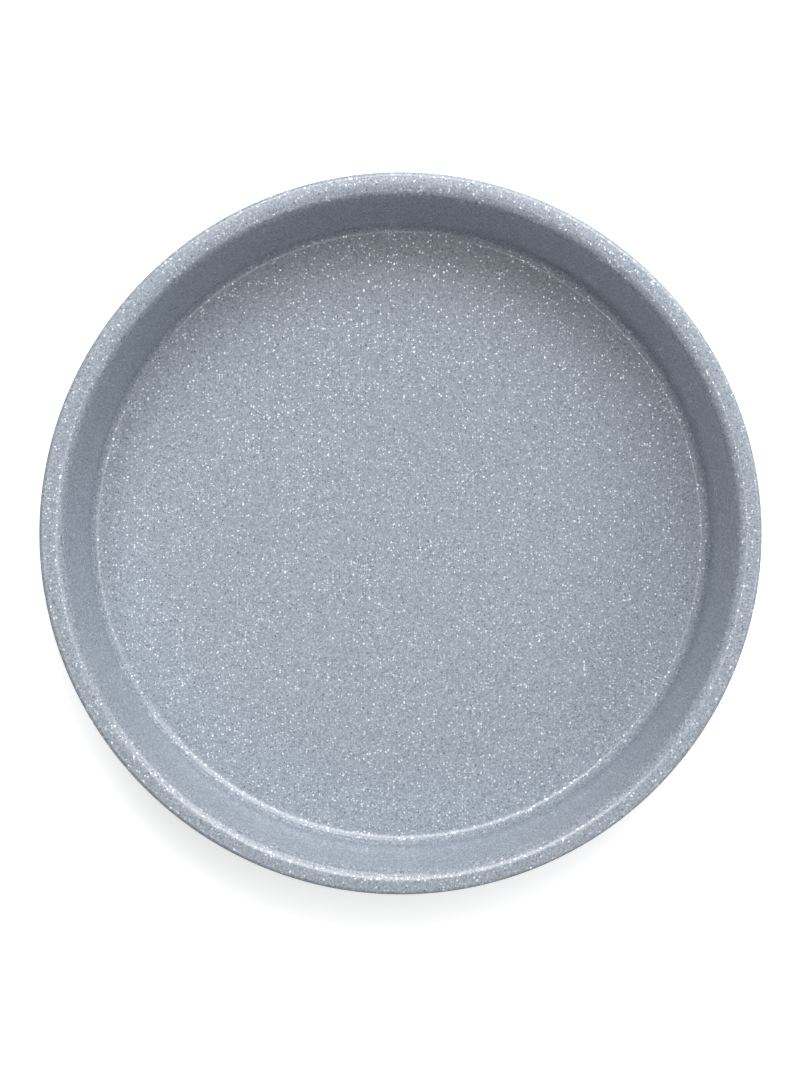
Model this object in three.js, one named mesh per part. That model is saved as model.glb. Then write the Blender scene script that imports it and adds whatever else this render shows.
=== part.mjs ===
// Round baking pan: one drawn steel sheet, coated on both faces, with its edge rolled over a wire.
// Millimetres, +Z up. The origin is the centre of the face that the pan stands on.
import * as THREE from "three";

const { degToRad } = THREE.MathUtils;

// The finished pan
const RIM_DIAMETER = 260; // across the outside of the rolled rim
const PAN_HEIGHT = 50; // from the table to the crest of the rim

// The layers of the sheet
const STEEL_THICKNESS = 0.6;
const INNER_COAT_THICKNESS = 0.05; // speckled non-stick coat on the food side
const OUTER_COAT_THICKNESS = 0.05; // the same kind of coat on the table side
const PRIMER_THICKNESS = 0.01; // bond line between steel and coat, left as a gap

// The bends of the drawn sheet, measured on the food side of the steel
const CORNER_RADIUS = 4.6; // from the floor up into the wall
const WALL_LEAN = degToRad(5.9); // off the vertical, so that pans stack
const LIP_RADIUS = 5; // from the wall out into the rim
const LIP_LAND = 2.2; // level stretch along the top of the rim

// The rolled edge
const WIRE_DIAMETER = 1.6;
const WIRE_CLEARANCE = 0.1; // all round the wire, inside the roll
const ROLL_OPENING = degToRad(100); // left open between the cut edge and the start of the roll

// The facets that stand for round surfaces
const FACETS_AROUND = 60;
const LARGEST_BEND_STEP = degToRad(30);
const WIRE_SIDES = 10;

const innerStack = PRIMER_THICKNESS + INNER_COAT_THICKNESS;
const outerStack = PRIMER_THICKNESS + OUTER_COAT_THICKNESS;
const wallHeading = Math.PI / 2 - WALL_LEAN;
const rollRadius = WIRE_DIAMETER / 2 + WIRE_CLEARANCE + outerStack + STEEL_THICKNESS;

// The two bends take up some of the height between floor and crest, and the wall fills the rest.
const floorHeight = outerStack + STEEL_THICKNESS;
const crestHeight = PAN_HEIGHT - innerStack;
const bendRise = (CORNER_RADIUS + LIP_RADIUS) * (1 - Math.cos(wallHeading));
const wallLength = (crestHeight - floorHeight - bendRise) / Math.sin(wallHeading);

// The wall and rim take up some of the radius, and the flat floor fills the rest.
const wallAndRimWidth =
  CORNER_RADIUS * Math.sin(wallHeading) +
  wallLength * Math.cos(wallHeading) +
  LIP_RADIUS * Math.sin(wallHeading) +
  LIP_LAND +
  rollRadius;
const steelRadius = RIM_DIAMETER / 2 - innerStack;
const floorRadius = steelRadius - wallAndRimWidth;

// The sheet's section, walked from the axis outwards with the food side on the left.
// A move is a straight length, or a bend of some radius whose turn is positive to the left.
// The roll breaks at its outside, so that facets keep the pan's full width.
const sheetMoves = [
  { length: floorRadius },
  { turn: wallHeading, radius: CORNER_RADIUS },
  { length: wallLength },
  { turn: -wallHeading, radius: LIP_RADIUS },
  { length: LIP_LAND },
  { turn: -Math.PI / 2, radius: rollRadius },
  { turn: ROLL_OPENING - (3 * Math.PI) / 2, radius: rollRadius },
];

// Points of one straight move.
function walkStraight(from, heading, length) {
  const step = new THREE.Vector2(Math.cos(heading), Math.sin(heading)).multiplyScalar(length);
  return [from.clone().add(step)];
}

// Points along one bend, in equal steps.
function walkBend(from, heading, turn, radius) {
  const side = Math.sign(turn);
  const centre = new THREE.Vector2(-Math.sin(heading), Math.cos(heading)).multiplyScalar(side * radius).add(from);
  const steps = Math.ceil(Math.abs(turn) / LARGEST_BEND_STEP);
  const points = [];
  for (let step = 1; step <= steps; step += 1) {
    const angle = (turn * step) / steps;
    points.push(from.clone().rotateAround(centre, angle));
  }
  return points;
}

// The section of a face that runs parallel to the food side of the steel, at a height above it.
function traceFace(offset) {
  const points = [new THREE.Vector2(0, floorHeight + offset)];
  let heading = 0;
  for (const { length = 0, turn = 0, radius } of sheetMoves) {
    const from = points.at(-1);
    if (turn === 0) {
      points.push(...walkStraight(from, heading, length));
    } else {
      points.push(...walkBend(from, heading, turn, radius - Math.sign(turn) * offset));
    }
    heading += turn;
  }
  return points;
}

// Turns a closed section of radius and height about the pan's axis.
function spin(section) {
  return new THREE.LatheGeometry(section, FACETS_AROUND).rotateX(Math.PI / 2);
}

// One layer of the sheet, between two parallel faces.
function spinLayer(lowerOffset, upperOffset) {
  return spin([...traceFace(lowerOffset), ...traceFace(upperOffset).reverse()]);
}

// The wire that stiffens the rim, at the centre of the roll.
function spinWire() {
  const ringRadius = steelRadius - rollRadius;
  const ringHeight = crestHeight - rollRadius;
  const section = new THREE.EllipseCurve(ringRadius, ringHeight, WIRE_DIAMETER / 2, WIRE_DIAMETER / 2);
  return spin(section.getPoints(WIRE_SIDES));
}

function piece(name, geometry, material) {
  const mesh = new THREE.Mesh(geometry, material);
  mesh.name = name;
  return mesh;
}

const carbonSteel = new THREE.MeshStandardMaterial({ color: 0x8c8f93, roughness: 0.4, metalness: 1 });
const zincPlatedWire = new THREE.MeshStandardMaterial({ color: 0xb4b6b8, roughness: 0.35, metalness: 1 });
const speckledCoat = new THREE.MeshStandardMaterial({ color: 0xa8b0bb, roughness: 0.5, metalness: 0 });
const backCoat = new THREE.MeshStandardMaterial({ color: 0x9aa2ad, roughness: 0.55, metalness: 0 });

const steelLayer = spinLayer(-STEEL_THICKNESS, 0);
const innerLayer = spinLayer(PRIMER_THICKNESS, innerStack);
const outerLayer = spinLayer(-STEEL_THICKNESS - outerStack, -STEEL_THICKNESS - PRIMER_THICKNESS);

const pan = new THREE.Group();
pan.add(
  piece("steel_shell", steelLayer, carbonSteel),
  piece("rim_wire", spinWire(), zincPlatedWire),
  piece("inner_coating", innerLayer, speckledCoat),
  piece("outer_coating", outerLayer, backCoat),
);

export default pan;
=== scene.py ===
"""Looks of a round baking pan with a speckled stone-effect coat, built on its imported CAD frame."""

import logging
import math
from dataclasses import dataclass
from enum import Enum

import bmesh
import bpy
from mathutils import Matrix, Vector


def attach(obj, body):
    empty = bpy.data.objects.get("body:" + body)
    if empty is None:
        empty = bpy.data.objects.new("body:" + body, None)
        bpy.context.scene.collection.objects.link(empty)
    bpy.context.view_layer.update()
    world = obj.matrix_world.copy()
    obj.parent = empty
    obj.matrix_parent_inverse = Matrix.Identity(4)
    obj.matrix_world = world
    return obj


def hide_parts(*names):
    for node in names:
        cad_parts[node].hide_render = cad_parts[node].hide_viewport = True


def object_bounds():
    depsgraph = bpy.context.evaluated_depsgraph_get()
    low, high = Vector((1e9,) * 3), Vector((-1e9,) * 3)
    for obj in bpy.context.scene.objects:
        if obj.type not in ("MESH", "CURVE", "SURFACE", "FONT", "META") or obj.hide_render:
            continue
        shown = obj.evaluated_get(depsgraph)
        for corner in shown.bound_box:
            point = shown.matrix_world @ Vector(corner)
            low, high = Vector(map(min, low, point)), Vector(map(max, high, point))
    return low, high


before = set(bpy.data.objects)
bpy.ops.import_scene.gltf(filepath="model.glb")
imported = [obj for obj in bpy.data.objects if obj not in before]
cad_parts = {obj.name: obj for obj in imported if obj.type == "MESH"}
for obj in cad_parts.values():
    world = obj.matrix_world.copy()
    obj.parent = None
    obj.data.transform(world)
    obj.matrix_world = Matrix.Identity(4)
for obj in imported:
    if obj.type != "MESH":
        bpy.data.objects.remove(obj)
cad_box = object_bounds()

MM = 0.001
BODY = "root"
STEPS_ROUND = 192  # in a full turn about the pan's axis
SHARP_ANGLE = math.radians(40)  # from which two faces meet in a crisp edge
MERGE_DISTANCE = 0.0005 * MM  # within which two points of a turned body are one
# Sockets of a Mix node's colours, by number because their names repeat
MIX_SHARE, MIX_FIRST, MIX_SECOND, MIX_RESULT = 0, 6, 7, 2

log = logging.getLogger("baking_pan")


class Piece(Enum):
    """The pan's pieces, by the CAD node that each stands for."""

    STEEL_SHELL = "steel_shell"
    RIM_WIRE = "rim_wire"
    INNER_COATING = "inner_coating"
    OUTER_COATING = "outer_coating"


class Slot(Enum):
    """Names of the pan's material slots."""

    CARBON_STEEL = "carbon_steel"
    PLATED_WIRE = "plated_wire"
    SPECKLED_COAT = "speckled_coat"
    BACK_COAT = "back_coat"


def linear(hex_code: str) -> tuple[float, float, float, float]:
    """Turns an sRGB colour into linear light.

    Args:
        hex_code: Six hex digits after a hash.

    Returns:
        Linear red, green and blue, and an alpha of 1.
    """
    shares = [int(hex_code[at : at + 2], 16) / 255 for at in (1, 3, 5)]
    # The sRGB curve has a straight foot and is a power above it
    red, green, blue = (
        share / 12.92 if share <= 0.04045 else ((share + 0.055) / 1.055) ** 2.4 for share in shares
    )
    return red, green, blue, 1.0


def add_node(
    tree: bpy.types.NodeTree, kind: str, inputs: dict[str | int, object] | None = None, **settings: object
) -> bpy.types.Node:
    """Adds a shader node, sets it up, and feeds its inputs.

    Args:
        tree: Node tree that takes the node.
        kind: Blender's name for the type of node.
        inputs: Socket name or number to a value, or to another node's output socket.
        **settings: Properties of the node itself.

    Returns:
        The new node.
    """
    node = tree.nodes.new(kind)
    for name, value in settings.items():
        setattr(node, name, value)
    for key, value in (inputs or {}).items():
        if isinstance(value, bpy.types.NodeSocket):
            tree.links.new(value, node.inputs[key])
        else:
            node.inputs[key].default_value = value
    return node


@dataclass(frozen=True)
class Flecks:
    """One kind of mineral fleck: grains all through the coat, which its surface cuts at any height.

    Attributes:
        colour: Colour of the grains.
        spacing: Mean distance between grains, in metres.
        radius: Radius of the largest grain, in metres.
        present: Share of the places that hold a grain.
        soft_edge: Share of the radius over which a grain fades into the coat.
        shine: How metallic a grain looks, from 0 for stone to 1 for bare metal.
    """

    colour: str
    spacing: float
    radius: float
    present: float
    soft_edge: float
    shine: float = 0.0

    def mask(self, tree: bpy.types.NodeTree, coords: bpy.types.NodeSocket) -> bpy.types.NodeSocket:
        """Makes a mask that is 1 on a grain and 0 between grains.

        Args:
            tree: Node tree that takes the nodes.
            coords: Coordinates in metres.

        Returns:
            The mask's socket.
        """
        largest = self.radius / self.spacing
        places = add_node(tree, "ShaderNodeTexVoronoi", {"Vector": coords, "Scale": 1 / self.spacing})
        chance = add_node(tree, "ShaderNodeSeparateColor", {"Color": places.outputs["Color"]})
        # Each place draws its grain's size by chance, and those with the lowest draw hold none
        sizes = {"Value": chance.outputs["Red"], "From Min": 1 - self.present, "To Max": largest}
        size = add_node(tree, "ShaderNodeMapRange", sizes)
        depths = {0: size.outputs["Result"], 1: places.outputs["Distance"]}
        depth = add_node(tree, "ShaderNodeMath", depths, operation="SUBTRACT")
        edge = {"Value": depth.outputs["Value"], "From Max": self.soft_edge * largest}
        grain = add_node(tree, "ShaderNodeMapRange", edge, interpolation_type="SMOOTHSTEP")
        return grain.outputs["Result"]


@dataclass(frozen=True)
class SpeckledCoat:
    """Stone-effect non-stick coat: fluoropolymer, hard binder resin and mineral flecks, baked on steel.

    To the eye it is a semi-gloss blue-grey with a fine grain, many small pale flecks, some dark ones, and
    a skin that dries in low waves. The palest flecks are mica, whose lustre stays bright in the shade.

    Attributes:
        name: Name of the material.
        ground: Lighter shade of the ground.
        ground_shade: Darker shade of the ground.
        flecks: Kinds of fleck, each laid over those before it.
        roughness: Mean roughness of the skin.
        roughness_spread: How far the roughness strays from its mean.
        ior: Refractive index of the binder resin.
        grain_size: Size of the ground's grain, in metres.
        grain_low: Noise at and below which the ground has its darker shade.
        grain_high: Noise at and above which the ground has its lighter shade.
        noise_detail: Finer octaves in the noise of the grain and of the waves.
        drift: How far flecks are drawn out of round, in metres.
        wall_draw: How many times longer flecks are up the wall, where the press draws the coat out.
        peel_size: Length of the skin's waves, in metres.
        peel_height: Height of the skin's waves, in metres.
        lustre_roughness: Roughness that a fleck of full shine would have.
    """

    name: str
    ground: str
    ground_shade: str
    flecks: tuple[Flecks, ...]
    roughness: float
    roughness_spread: float = 0.02
    ior: float = 1.6
    grain_size: float = 0.8 * MM
    grain_low: float = 0.3
    grain_high: float = 0.7
    noise_detail: float = 2.0
    drift: float = 1.0 * MM
    wall_draw: float = 1.7
    peel_size: float = 1.6 * MM
    peel_height: float = 0.006 * MM
    lustre_roughness: float = 0.25

    def material(self) -> bpy.types.Material:
        """Builds the coat's material on Object coordinates.

        Returns:
            The new material.
        """
        made = bpy.data.materials.new(self.name)
        made.use_nodes = True
        tree = made.node_tree
        place = add_node(tree, "ShaderNodeTexCoord").outputs["Object"]
        drawn = {"Vector": place, "Scale": (1.0, 1.0, 1 / self.wall_draw)}
        coords = add_node(tree, "ShaderNodeMapping", drawn).outputs["Vector"]
        waves = {"Vector": coords, "Scale": 1 / self.peel_size, "Detail": self.noise_detail}
        peel = add_node(tree, "ShaderNodeTexNoise", waves).outputs["Fac"]
        skin = add_node(tree, "ShaderNodeBump", {"Height": peel, "Distance": self.peel_height})
        gloss = {
            "Value": peel,
            "To Min": self.roughness - self.roughness_spread,
            "To Max": self.roughness + self.roughness_spread,
        }
        skin_rough = add_node(tree, "ShaderNodeMapRange", gloss).outputs["Result"]
        colour, shine = self._flecked(tree, coords)
        lustre = {"Value": shine, "To Min": skin_rough, "To Max": self.lustre_roughness}
        rough = add_node(tree, "ShaderNodeMapRange", lustre).outputs["Result"]
        shader = tree.nodes["Principled BSDF"]
        shader.inputs["IOR"].default_value = self.ior
        tree.links.new(colour, shader.inputs["Base Color"])
        tree.links.new(shine, shader.inputs["Metallic"])
        tree.links.new(rough, shader.inputs["Roughness"])
        tree.links.new(skin.outputs["Normal"], shader.inputs["Normal"])
        return made

    def _flecked(
        self, tree: bpy.types.NodeTree, coords: bpy.types.NodeSocket
    ) -> tuple[bpy.types.NodeSocket, bpy.types.NodeSocket]:
        """Lays the flecks over a grainy ground.

        Args:
            tree: Node tree that takes the nodes.
            coords: Coordinates in metres.

        Returns:
            The sockets of the colour and of the flecks' shine.
        """
        noise = {"Vector": coords, "Scale": 1 / self.grain_size, "Detail": self.noise_detail}
        grain = add_node(tree, "ShaderNodeTexNoise", noise)
        spread = {"Value": grain.outputs["Fac"], "From Min": self.grain_low, "From Max": self.grain_high}
        shades = {
            MIX_SHARE: add_node(tree, "ShaderNodeMapRange", spread).outputs["Result"],
            MIX_FIRST: linear(self.ground_shade),
            MIX_SECOND: linear(self.ground),
        }
        colour = add_node(tree, "ShaderNodeMix", shades, data_type="RGBA").outputs[MIX_RESULT]
        # The same grain shifts each point's place among the flecks, which draws them out of round
        shift = {0: grain.outputs["Color"], 1: (self.drift,) * 3, 2: coords}
        shifted = add_node(tree, "ShaderNodeVectorMath", shift, operation="MULTIPLY_ADD")
        shine = 0.0
        for kind in self.flecks:
            mask = kind.mask(tree, shifted.outputs["Vector"])
            layer = {MIX_SHARE: mask, MIX_FIRST: colour, MIX_SECOND: linear(kind.colour)}
            colour = add_node(tree, "ShaderNodeMix", layer, data_type="RGBA").outputs[MIX_RESULT]
            share = {"Value": mask, "To Min": shine, "To Max": kind.shine}
            shine = add_node(tree, "ShaderNodeMapRange", share).outputs["Result"]
        return colour, shine


@dataclass(frozen=True)
class BareSteel:
    """Bare steel, sheared or drawn: a grey metal whose gloss changes a little along the work.

    Attributes:
        name: Name of the material.
        colour: Colour of the metal.
        roughness: Mean roughness of its surface.
        roughness_spread: How far the roughness strays from its mean.
        mark_size: Size of the tool's marks, in metres, coarser than real ones so that they show.
        mark_detail: Finer octaves in the noise of the marks.
    """

    name: str
    colour: str
    roughness: float
    roughness_spread: float
    mark_size: float
    mark_detail: float = 4.0

    def material(self) -> bpy.types.Material:
        """Builds the metal's material on Object coordinates.

        Returns:
            The new material.
        """
        made = bpy.data.materials.new(self.name)
        made.use_nodes = True
        tree = made.node_tree
        coords = add_node(tree, "ShaderNodeTexCoord").outputs["Object"]
        noise = {"Vector": coords, "Scale": 1 / self.mark_size, "Detail": self.mark_detail}
        marks = add_node(tree, "ShaderNodeTexNoise", noise)
        gloss = {
            "Value": marks.outputs["Fac"],
            "To Min": self.roughness - self.roughness_spread,
            "To Max": self.roughness + self.roughness_spread,
        }
        rough = add_node(tree, "ShaderNodeMapRange", gloss)
        shader = tree.nodes["Principled BSDF"]
        shader.inputs["Base Color"].default_value = linear(self.colour)
        shader.inputs["Metallic"].default_value = 1.0
        tree.links.new(rough.outputs["Result"], shader.inputs["Roughness"])
        return made


# Flecks from the lowest layer up: dark stone and pale dust, which are dull, then mica, which glints
DARK_SPECKS = Flecks("#626b75", spacing=0.9 * MM, radius=0.42 * MM, present=0.85, soft_edge=0.5)
PALE_DUST = Flecks("#cfd7e2", spacing=0.65 * MM, radius=0.34 * MM, present=0.9, soft_edge=0.6)
PALE_FLECKS = Flecks(
    "#eef4fc", spacing=1.0 * MM, radius=0.44 * MM, present=0.8, soft_edge=0.5, shine=0.4
)
WHITE_FLECKS = Flecks(
    "#eff5fc", spacing=1.9 * MM, radius=0.47 * MM, present=0.7, soft_edge=0.4, shine=0.65
)
FLECKS = (DARK_SPECKS, PALE_DUST, PALE_FLECKS, WHITE_FLECKS)
# The coat on the table side is a little darker and duller than the one on the food side
INNER_COAT = SpeckledCoat("stone_effect_coat", "#a9b2bd", "#868f9a", FLECKS, roughness=0.19)
OUTER_COAT = SpeckledCoat("stone_effect_back_coat", "#a0a9b4", "#7e8792", FLECKS, roughness=0.3)
# The sheared sheet is a dull mid grey with small drag marks
CUT_STEEL = BareSteel(
    "cut_carbon_steel", "#8c8f93", roughness=0.38, roughness_spread=0.1, mark_size=0.4 * MM
)
# The plating makes the wire paler, with a soft cloudy shine
ZINC_WIRE = BareSteel(
    "zinc_plated_wire", "#b4b6b8", roughness=0.34, roughness_spread=0.08, mark_size=1.5 * MM
)


class SectionPen:
    """Draws a section in the XZ plane of a bmesh, as a chain of straight and bent moves."""

    def __init__(self, mesh: bmesh.types.BMesh, height: float) -> None:
        """Starts on the pan's axis, heading outwards.

        Args:
            mesh: Mesh that takes the chain.
            height: Height of the first point.
        """
        self.mesh = mesh
        self.tip = mesh.verts.new((0.0, 0.0, height))
        self.heading = 0.0

    def turn(self, angle: float) -> None:
        """Turns on the spot, to the left where the angle is positive."""
        self.heading += angle

    def straight(self, length: float, steps: int = 1) -> None:
        """Draws a straight stretch.

        Args:
            length: Length of the stretch.
            steps: Number of equal edges in it.
        """
        along = Vector((math.cos(self.heading), 0.0, math.sin(self.heading))) * (length / steps)
        for _ in range(steps):
            self.tip = bmesh.ops.extrude_vert_indiv(self.mesh, verts=[self.tip])["verts"][0]
            bmesh.ops.translate(self.mesh, verts=[self.tip], vec=along)

    def bend(self, angle: float, radius: float, steps: int) -> None:
        """Draws an arc.

        Args:
            angle: Angle turned through, positive to the left.
            radius: Radius of the arc.
            steps: Number of equal edges in it.
        """
        left = Vector((-math.sin(self.heading), 0.0, math.cos(self.heading)))
        centre = self.tip.co + left * math.copysign(radius, angle)
        arc = bmesh.ops.spin(
            self.mesh, geom=[self.tip], cent=centre, axis=(0.0, -1.0, 0.0), angle=angle, steps=steps
        )
        self.tip = next(part for part in arc["geom_last"] if isinstance(part, bmesh.types.BMVert))
        self.heading += angle


def spin_round(mesh: bmesh.types.BMesh) -> None:
    """Turns a section about the pan's axis into a closed body with smooth faces and crisp edges.

    Args:
        mesh: Mesh that holds the section and takes the body.
    """
    bmesh.ops.spin(
        mesh,
        geom=[*mesh.verts, *mesh.edges],
        cent=(0.0, 0.0, 0.0),
        axis=(0.0, 0.0, 1.0),
        angle=math.tau,
        steps=STEPS_ROUND,
        use_merge=True,
    )
    bmesh.ops.remove_doubles(mesh, verts=mesh.verts, dist=MERGE_DISTANCE)
    bmesh.ops.recalc_face_normals(mesh, faces=mesh.faces)
    for face in mesh.faces:
        face.smooth = True
    for edge in mesh.edges:
        edge.smooth = edge.calc_face_angle(0.0) < SHARP_ANGLE


def add_piece(
    piece: Piece, mesh: bmesh.types.BMesh, material: bpy.types.Material
) -> bpy.types.Object:
    """Makes a bmesh into a piece of the pan that stands for a CAD node.

    Args:
        piece: Piece that is added.
        mesh: Its shape in the CAD frame, which is freed.
        material: Its finish.

    Returns:
        The piece's object.
    """
    data = bpy.data.meshes.new(piece.value)
    mesh.to_mesh(data)
    mesh.free()
    data.materials.append(material)
    made = bpy.data.objects.new(f"{piece.value}_fine", data)
    bpy.context.scene.collection.objects.link(made)
    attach(made, BODY)
    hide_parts(piece.value)
    return made


@dataclass(frozen=True)
class Move:
    """One move of the sheet's section: a straight length, or a bend where the angle isn't 0.

    Attributes:
        steps: Number of edges that the move is drawn in.
        length: Length of a straight move.
        angle: Angle of a bend, positive to the left.
        radius: Radius of a bend on the food side of the steel.
    """

    steps: int
    length: float = 0.0
    angle: float = 0.0
    radius: float = 0.0


@dataclass
class CoatedSheet:
    """The drawn steel sheet with its two coats: floor, corner, wall, lip and the edge rolled over a wire.

    Its overall size comes from the frame, and the rest are the sizes of the CAD model, in metres and
    radians. The bends are measured on the food side of the steel.

    Attributes:
        rim_diameter: Diameter across the outside of the rolled rim.
        pan_height: Height from the table to the crest of the rim.
        steel: Thickness of the steel.
        coat: Thickness of each coat.
        primer: Thickness of the bond line between steel and coat, left as a gap.
        corner_radius: Radius of the bend from the floor up into the wall.
        wall_lean: Lean of the wall off the vertical.
        lip_radius: Radius of the bend from the wall out into the rim.
        lip_land: Level stretch along the top of the rim.
        wire_diameter: Diameter of the wire inside the roll.
        wire_clearance: Gap all round the wire.
        roll_opening: Angle left open between the cut edge and the start of the roll.
        floor_steps: Number of edges along the floor.
        wall_steps: Number of edges up the wall.
        bend_step: Largest angle of one edge in a bend.
    """

    rim_diameter: float
    pan_height: float
    steel: float = 0.6 * MM
    coat: float = 0.05 * MM
    primer: float = 0.01 * MM
    corner_radius: float = 4.6 * MM
    wall_lean: float = math.radians(5.9)
    lip_radius: float = 5.0 * MM
    lip_land: float = 2.2 * MM
    wire_diameter: float = 1.6 * MM
    wire_clearance: float = 0.1 * MM
    roll_opening: float = math.radians(100)
    floor_steps: int = 8
    wall_steps: int = 4
    bend_step: float = math.radians(6)

    @property
    def stack(self) -> float:
        """Thickness of primer and coat on one face."""
        return self.primer + self.coat

    @property
    def roll_radius(self) -> float:
        """Radius of the rolled edge on the outside of its steel."""
        return self.wire_diameter / 2 + self.wire_clearance + self.stack + self.steel

    @property
    def floor_height(self) -> float:
        """Height of the steel's food side on the floor."""
        return self.stack + self.steel

    @property
    def crest_height(self) -> float:
        """Height of the steel's food side on the crest of the lip."""
        return self.pan_height - self.stack

    @property
    def ring_radius(self) -> float:
        """Radius of the roll's centre line, which the wire lies on."""
        return self.rim_diameter / 2 - self.stack - self.roll_radius

    @property
    def ring_height(self) -> float:
        """Height of the roll's centre line."""
        return self.crest_height - self.roll_radius

    def moves(self) -> list[Move]:
        """Works out the sheet's section from the axis to the cut edge, with the food side on the left.

        Returns:
            The section's moves, in order.
        """
        heading = math.pi / 2 - self.wall_lean
        rise = (self.corner_radius + self.lip_radius) * (1 - math.cos(heading))
        wall = (self.crest_height - self.floor_height - rise) / math.sin(heading)
        bends_width = (self.corner_radius + self.lip_radius) * math.sin(heading)
        wall_width = wall * math.cos(heading)
        return [
            Move(self.floor_steps, length=self.ring_radius - self.lip_land - bends_width - wall_width),
            self._bend(heading, self.corner_radius),
            Move(self.wall_steps, length=wall),
            self._bend(-heading, self.lip_radius),
            Move(1, length=self.lip_land),
            self._bend(self.roll_opening - math.tau, self.roll_radius),
        ]

    def _bend(self, angle: float, radius: float) -> Move:
        """Makes a bend in equal steps of at most the sheet's bend step."""
        return Move(math.ceil(abs(angle) / self.bend_step), angle=angle, radius=radius)

    @staticmethod
    def _draw(pen: SectionPen, move: Move, offset: float, outwards: bool) -> None:
        """Draws one move of a face that runs parallel to the steel's food side.

        Args:
            pen: Pen that draws.
            move: Move on the food side.
            offset: Offset of the face, positive into the pan.
            outwards: Whether the pen walks away from the axis.
        """
        if move.angle == 0:
            pen.straight(move.length, move.steps)
            return
        radius = move.radius - offset * math.copysign(1.0, move.angle)
        pen.bend(move.angle if outwards else -move.angle, radius, move.steps)

    def _layer(self, low: float, high: float) -> bmesh.types.BMesh:
        """Builds one layer of the sheet.

        Args:
            low: Offset of its lower face from the food side of the steel, positive into the pan.
            high: Offset of its upper face.

        Returns:
            The layer as a closed body.
        """
        mesh = bmesh.new()
        pen = SectionPen(mesh, self.floor_height + low)
        moves = self.moves()
        for move in moves:
            self._draw(pen, move, low, outwards=True)
        pen.turn(math.pi / 2)
        pen.straight(high - low)
        pen.turn(math.pi / 2)
        for move in reversed(moves):
            self._draw(pen, move, high, outwards=False)
        spin_round(mesh)
        return mesh

    def build(self) -> list[bpy.types.Object]:
        """Builds and dresses the steel and its two coats.

        Returns:
            The three pieces.
        """
        table_side = -self.steel
        steel = self._layer(table_side, 0.0)
        inner = self._layer(self.primer, self.stack)
        outer = self._layer(table_side - self.stack, table_side - self.primer)
        return [
            add_piece(Piece.STEEL_SHELL, steel, CUT_STEEL.material()),
            add_piece(Piece.INNER_COATING, inner, INNER_COAT.material()),
            add_piece(Piece.OUTER_COATING, outer, OUTER_COAT.material()),
        ]


@dataclass
class RimWire:
    """The wire that the sheet's edge is rolled over.

    Attributes:
        ring_radius: Radius of the wire's centre line about the pan's axis.
        ring_height: Height of that line.
        diameter: Diameter of the wire.
        sides: Number of sides of its section.
    """

    ring_radius: float
    ring_height: float
    diameter: float
    sides: int = 24

    def build(self) -> bpy.types.Object:
        """Builds and dresses the wire as a closed ring.

        Returns:
            The piece.
        """
        upright = Matrix.Rotation(math.pi / 2, 3, "X")
        mesh = bmesh.new()
        bmesh.ops.create_circle(mesh, segments=self.sides, radius=self.diameter / 2)
        bmesh.ops.rotate(mesh, verts=mesh.verts, cent=(0.0, 0.0, 0.0), matrix=upright)
        bmesh.ops.translate(mesh, verts=mesh.verts, vec=(self.ring_radius, 0.0, self.ring_height))
        spin_round(mesh)
        return add_piece(Piece.RIM_WIRE, mesh, ZINC_WIRE.material())


@dataclass(frozen=True)
class Softbox:
    """A lamp with a rectangular diffuser that faces the pan.

    Attributes:
        name: Name of the lamp.
        azimuth: Direction of the lamp from the pan, in degrees from +X towards +Y.
        elevation: Height of the lamp over the table, in degrees.
        width: Width of the diffuser along the horizon, in metres.
        height: Height of the diffuser, in metres.
        radiance: Brightness of the diffuser, where 1 is a white card in plain light.
        distance: Distance of the lamp from the pan, in metres.
    """

    name: str
    azimuth: float
    elevation: float
    width: float
    height: float
    radiance: float
    distance: float = 1.2

    def build(self) -> None:
        """Hangs the lamp."""
        around, up = math.radians(self.azimuth), math.radians(self.elevation)
        away = Vector((math.cos(around) * math.cos(up), math.sin(around) * math.cos(up), math.sin(up)))
        data = bpy.data.lights.new(self.name, "AREA")
        data.shape = "RECTANGLE"
        data.size = self.width
        data.size_y = self.height
        # The power at which a flat lamp of this area has that radiance
        data.energy = math.pi * self.width * self.height * self.radiance
        lamp = bpy.data.objects.new(self.name, data)
        lamp.location = away * self.distance
        lamp.rotation_euler = away.to_track_quat("Z", "Y").to_euler()
        lamp.visible_camera = False
        bpy.context.scene.collection.objects.link(lamp)
        log.info("%s: radiance %.2f", self.name, self.radiance)


def seen_directly(tree: bpy.types.NodeTree) -> bpy.types.NodeSocket:
    """Tells what the camera sees, straight or in a gloss or through glass, from what only gives light.

    Args:
        tree: Node tree that takes the nodes.

    Returns:
        A socket that is 1 for what is seen and 0 for what gives light.
    """
    path = add_node(tree, "ShaderNodeLightPath")
    seen = path.outputs["Is Camera Ray"]
    for kind in ("Is Glossy Ray", "Is Transmission Ray"):
        either = {0: seen, 1: path.outputs[kind]}
        seen = add_node(tree, "ShaderNodeMath", either, operation="MAXIMUM").outputs["Value"]
    return seen


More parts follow.
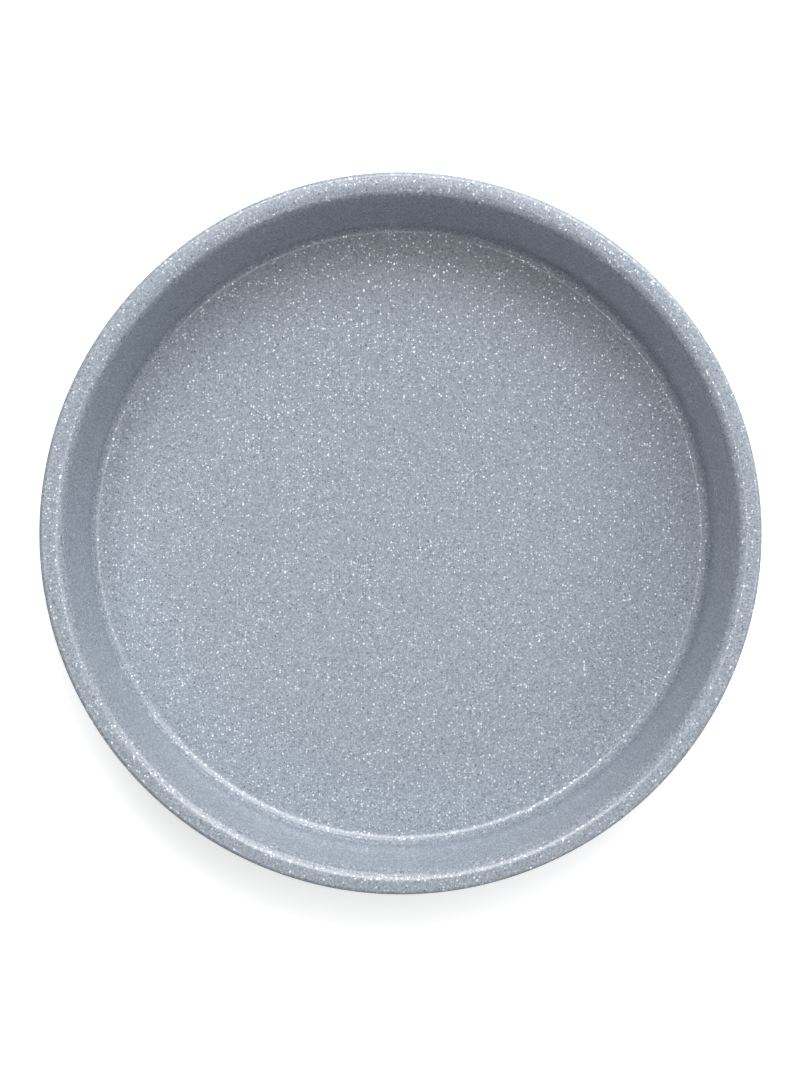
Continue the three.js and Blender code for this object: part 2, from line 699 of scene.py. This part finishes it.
@dataclass
class Studio:
    """A white table in soft light: a tall bank of softboxes beyond the pan, lesser ones all round it.

    Attributes:
        lamps: Softboxes round the table.
        room_light: Strength of the even fill light from the room.
        room_colour: Colour of the room.
        table_width: Width of the table, in metres.
        table_gap: Gap that keeps the table's face off the pan's, in metres.
        table_colour: Colour of the card where it lights the pan or shows in its gloss.
        shadow_depth: Colour of the card to the camera, whose shadow is the deeper the paler it is.
        contact_glow: Glow of the card next to the pan, where 1 is white; kept low there as painted shade
            round the pan.
        shadow_start: Distance from the pan's axis at which the glow starts to rise, in metres.
        shadow_end: Distance from the pan's axis at which the glow is white, in metres.
    """

    lamps: tuple[Softbox, ...] = (
        Softbox("far_low_bank", azimuth=63, elevation=20, width=1.3, height=0.4, radiance=2.6),
        Softbox("far_bank", azimuth=66, elevation=36, width=1.2, height=0.4, radiance=2.3),
        Softbox("far_canopy", azimuth=86, elevation=56, width=1.1, height=0.5, radiance=5.4),
        Softbox("far_roof", azimuth=90, elevation=70, width=0.9, height=0.3, radiance=1.9),
        Softbox("right_panel", azimuth=4, elevation=45, width=0.8, height=0.4, radiance=2.1),
        Softbox("left_panel", azimuth=176, elevation=68, width=0.45, height=0.12, radiance=4.4),
        Softbox("near_left_panel", azimuth=228, elevation=68, width=0.45, height=0.12, radiance=4.0),
        Softbox("near_bank", azimuth=292, elevation=38, width=0.9, height=0.4, radiance=1.3),
    )
    room_light: float = 0.03
    room_colour: str = "#ffffff"
    table_width: float = 8.0
    table_gap: float = 0.2 * MM
    table_colour: str = "#e6e6e6"
    shadow_depth: str = "#fafafa"
    contact_glow: float = 0.49
    shadow_start: float = 130 * MM
    shadow_end: float = 175 * MM

    def build(self) -> None:
        """Builds the table, the room and the lamps."""
        self._table()
        self._room()
        for lamp in self.lamps:
            lamp.build()
        bpy.context.scene.view_settings.view_transform = "Standard"

    def _table(self) -> None:
        """Lays the table just under the pan."""
        mesh = bmesh.new()
        bmesh.ops.create_grid(mesh, x_segments=1, y_segments=1, size=self.table_width / 2)
        bmesh.ops.translate(mesh, verts=mesh.verts, vec=(0.0, 0.0, -self.table_gap))
        data = bpy.data.meshes.new("table")
        mesh.to_mesh(data)
        mesh.free()
        data.materials.append(self._white_card())
        table = bpy.data.objects.new("table", data)
        bpy.context.scene.collection.objects.link(table)

    def _white_card(self) -> bpy.types.Material:
        """Builds the table's matt card, which is white to the eye but for the pan's shadow and a painted
        shade from a glow that is dimmer next to the pan.

        Returns:
            The new material.
        """
        made = bpy.data.materials.new("white_card")
        made.use_nodes = True
        tree = made.node_tree
        tree.nodes.clear()
        lit = add_node(tree, "ShaderNodeBsdfDiffuse", {"Color": linear(self.table_colour)})
        shown = add_node(tree, "ShaderNodeBsdfDiffuse", {"Color": linear(self.shadow_depth)})
        # A glow that is low by the pan and rises away from it paints shade round the pan and fades the
        # shadow out to white
        place = add_node(tree, "ShaderNodeTexCoord").outputs["Object"]
        away = add_node(tree, "ShaderNodeVectorMath", {0: place}, operation="LENGTH").outputs["Value"]
        fade = {
            "Value": away,
            "From Min": self.shadow_start,
            "From Max": self.shadow_end,
            "To Min": self.contact_glow,
        }
        strength = add_node(tree, "ShaderNodeMapRange", fade).outputs["Result"]
        glow = add_node(tree, "ShaderNodeEmission", {"Strength": strength})
        both = {0: shown.outputs["BSDF"], 1: glow.outputs["Emission"]}
        white = add_node(tree, "ShaderNodeAddShader", both)
        mirrored = add_node(tree, "ShaderNodeEmission", {"Color": linear(self.table_colour)})
        camera = add_node(tree, "ShaderNodeLightPath").outputs["Is Camera Ray"]
        sights = {0: camera, 1: mirrored.outputs["Emission"], 2: white.outputs["Shader"]}
        sight = add_node(tree, "ShaderNodeMixShader", sights)
        sides = {0: seen_directly(tree), 1: lit.outputs["BSDF"], 2: sight.outputs["Shader"]}
        either = add_node(tree, "ShaderNodeMixShader", sides)
        add_node(tree, "ShaderNodeOutputMaterial", {"Surface": either.outputs["Shader"]})
        return made

    def _room(self) -> None:
        """Surrounds the table with a room that is white to the eye and gives an even fill light."""
        world = bpy.data.worlds.new("pale_room")
        world.use_nodes = True
        tree = world.node_tree
        tree.nodes.clear()
        colour = linear(self.room_colour)
        fill = add_node(tree, "ShaderNodeBackground", {"Color": colour, "Strength": self.room_light})
        shown = add_node(tree, "ShaderNodeBackground", {"Color": colour, "Strength": 1.0})
        sides = {0: seen_directly(tree), 1: fill.outputs["Background"], 2: shown.outputs["Background"]}
        either = add_node(tree, "ShaderNodeMixShader", sides)
        add_node(tree, "ShaderNodeOutputWorld", {"Surface": either.outputs["Shader"]})
        bpy.context.scene.world = world


@dataclass(frozen=True)
class PhotoCamera:
    """Looks down on the pan, a hair off its axis, as in the photograph.

    Attributes:
        lens: Focal length, in millimetres.
        sensor: Length of the sensor's longer side, in millimetres.
        picture: Width and height of the picture, in pixels.
        pan_centre: Where the middle of the rim falls in the picture, in pixels from its top left.
        rim_radius: Radius of the rim in the picture, in pixels.
        stand: Where the camera stands over the table in X and Y, in metres.
    """

    lens: float = 85.0
    sensor: float = 36.0
    picture: tuple[int, int] = (800, 1091)
    pan_centre: tuple[float, float] = (400.5, 532.6)
    rim_radius: float = 361.3
    stand: tuple[float, float] = (0.0, -18 * MM)

    def build(self, rim_diameter: float, rim_height: float) -> None:
        """Places the camera.

        Args:
            rim_diameter: Diameter of the rim.
            rim_height: Height of the rim's widest ring.
        """
        width, height = self.picture
        pixel = rim_diameter / 2 / self.rim_radius
        distance = pixel * height * self.lens / self.sensor
        aim_x = (width / 2 - self.pan_centre[0]) * pixel
        aim_y = (self.pan_centre[1] - height / 2) * pixel
        tip = math.atan2(aim_y - self.stand[1], distance)
        lean = math.atan2(self.stand[0] - aim_x, distance)
        data = bpy.data.cameras.new("photo_camera")
        data.lens = self.lens
        data.sensor_width = self.sensor
        camera = bpy.data.objects.new("photo_camera", data)
        camera.location = (*self.stand, rim_height + distance)
        camera.rotation_euler = (tip, lean, 0.0)
        bpy.context.scene.collection.objects.link(camera)
        bpy.context.scene.camera = camera
        log.info("camera %.3f m over the rim", distance)


def main() -> None:
    """Builds the pan and reports its pieces, then builds the studio around it."""
    logging.basicConfig(level=logging.INFO, format="%(name)s: %(message)s")
    low, high = cad_box
    sheet = CoatedSheet(rim_diameter=high.x - low.x, pan_height=high.z - low.z)
    wire = RimWire(sheet.ring_radius, sheet.ring_height, sheet.wire_diameter)
    for piece in (*sheet.build(), wire.build()):
        finish = piece.data.materials[0]
        log.info("%s: %d faces in %s", piece.name, len(piece.data.polygons), finish.name)
    PhotoCamera().build(sheet.rim_diameter, sheet.ring_height)
    Studio().build()


if __name__ == "__main__":
    main()
